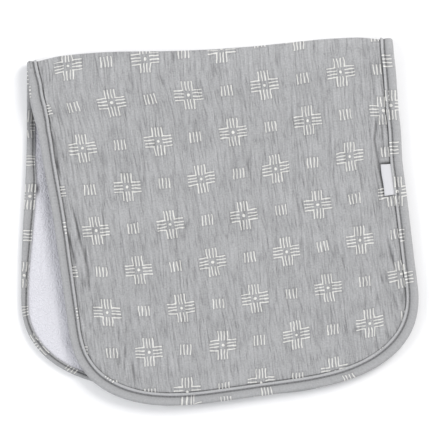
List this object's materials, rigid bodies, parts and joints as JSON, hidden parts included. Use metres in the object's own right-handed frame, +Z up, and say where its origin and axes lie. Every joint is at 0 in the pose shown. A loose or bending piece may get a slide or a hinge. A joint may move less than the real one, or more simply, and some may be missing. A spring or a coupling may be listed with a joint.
{
  "type": "burp cloth",
  "caption": "Folded burp cloth: printed crinkled muslin face, terry lining, bound edge all round and a small side label.",
  "frame": {"origin": "centre of the underside of the folded cloth's box, on the surface that it lies on", "axes": "+X along the fold to the label's side, +Y towards the fold, +Z up"},
  "size_m": [0.2752, 0.2482, 0.0138],
  "materials": {
    "muslin": "crinkled double gauze, matt grey with an off-white print",
    "terry": "soft white looped towelling",
    "binding": "matt grey printed cotton strip, folded over the edge and stitched",
    "label": "smooth white woven tape"
  },
  "bodies": {
    "root": {"face_panel": "muslin", "lining_panel": "terry", "edge_binding": "binding", "label": "label"}
  },
  "joints": []
}
